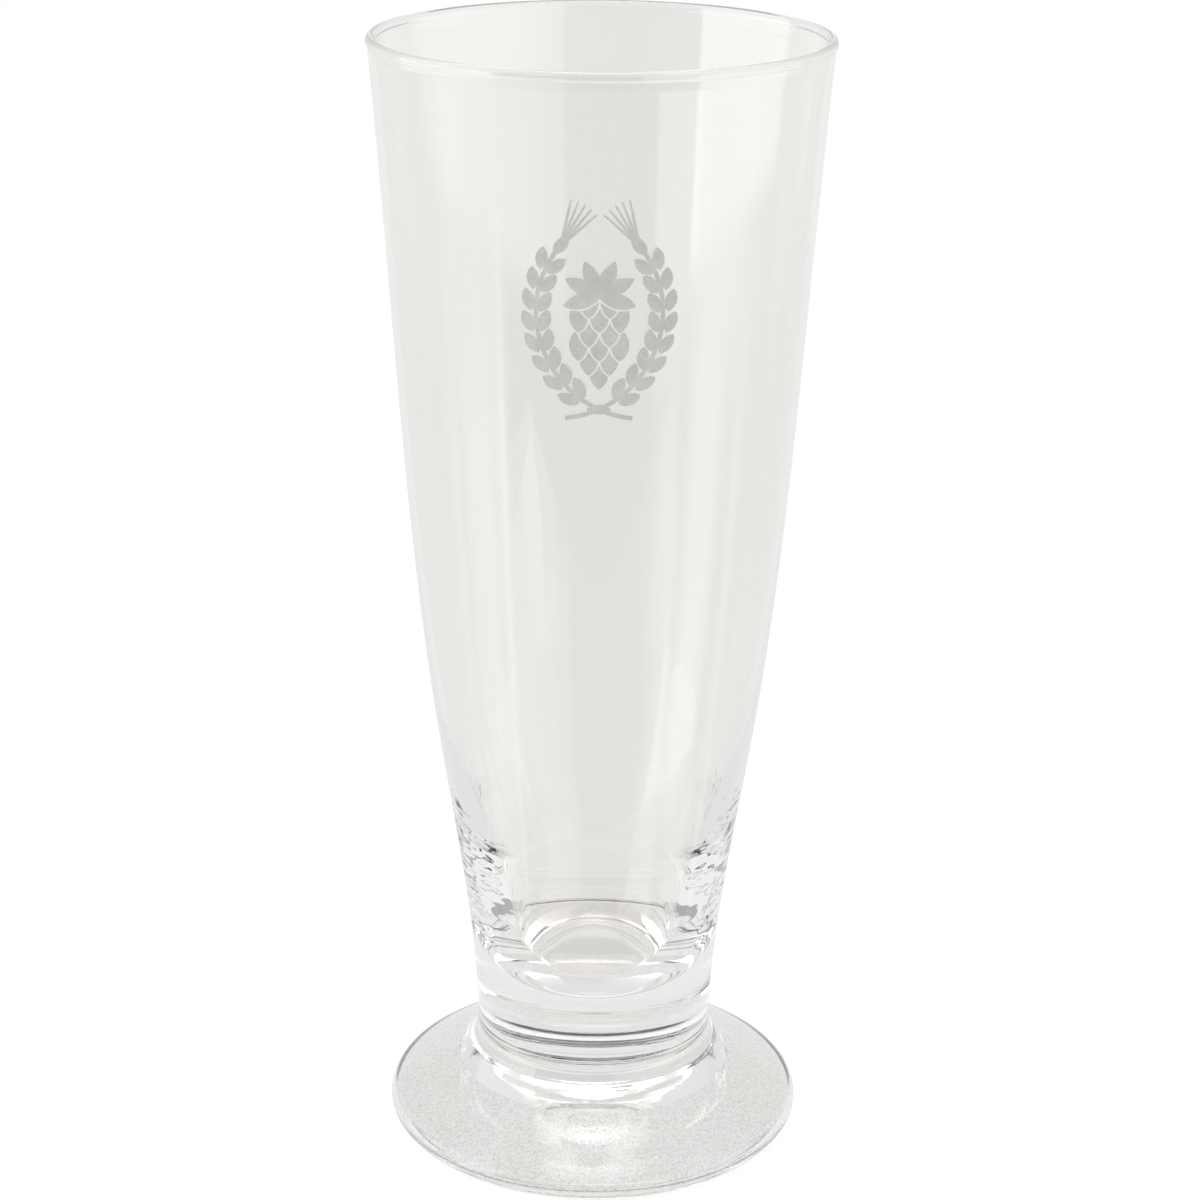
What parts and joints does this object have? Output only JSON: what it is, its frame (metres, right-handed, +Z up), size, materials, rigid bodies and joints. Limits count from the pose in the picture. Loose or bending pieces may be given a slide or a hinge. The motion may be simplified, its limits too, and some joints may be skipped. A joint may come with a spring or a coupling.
{
  "type": "pilsner glass",
  "caption": "Tall clear drinking glass with a flared thin-walled bowl, thick base, short solid neck, round foot and a grey hop and barley print.",
  "frame": {"origin": "on the table, under the middle of the foot", "axes": "+Z up along the glass's own axis to the rim; the print faces -Y"},
  "size_m": [0.0782, 0.0782, 0.2],
  "materials": {
    "glass": "clear soda-lime glass, fire-polished",
    "print": "matt grey ceramic ink, fired on"
  },
  "bodies": {
    "root": {"bowl": "glass", "neck": "glass", "foot": "glass", "emblem": "print"}
  },
  "joints": []
}
